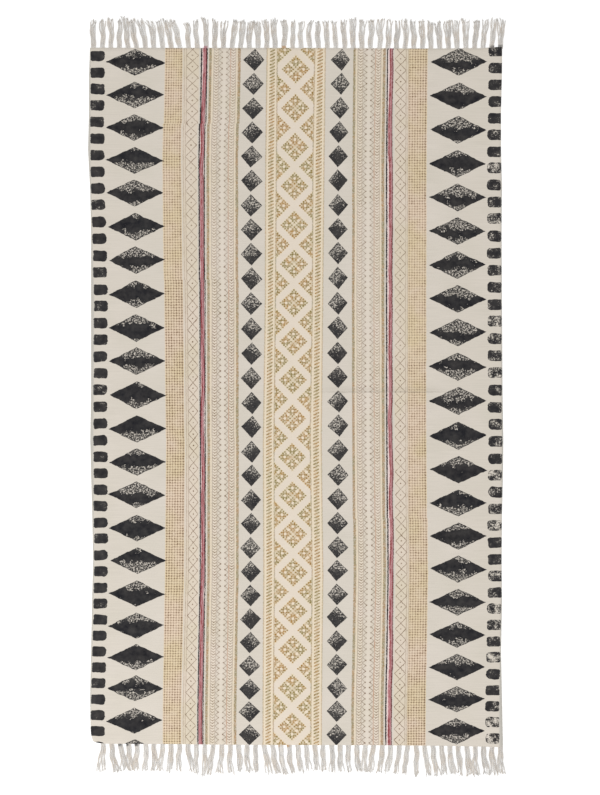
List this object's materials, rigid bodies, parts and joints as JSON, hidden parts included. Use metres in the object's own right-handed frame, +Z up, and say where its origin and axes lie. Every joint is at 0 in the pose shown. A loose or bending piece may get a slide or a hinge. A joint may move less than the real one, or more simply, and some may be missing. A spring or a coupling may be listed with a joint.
{
  "type": "block-printed cotton rug",
  "caption": "Flat rectangular handwoven cotton rug with bands of hand-printed geometric pattern along its length and a fringe of loose tassels at each short end; it lies on a floor.",
  "frame": {"origin": "on the floor, under the middle of the woven cloth", "axes": "+Z up from the floor, +Y along the rug towards its head fringe, +X across the rug"},
  "size_m": [0.9121, 1.6658, 0.0036],
  "materials": {
    "printed_cotton": "matt handwoven undyed cotton, block-printed in charcoal, ochre, rose and plum",
    "warp_cotton": "matt soft undyed cotton yarn"
  },
  "bodies": {
    "root": {"rug_cloth": "printed_cotton", "fringe_head": "warp_cotton", "fringe_foot": "warp_cotton"}
  },
  "joints": []
}
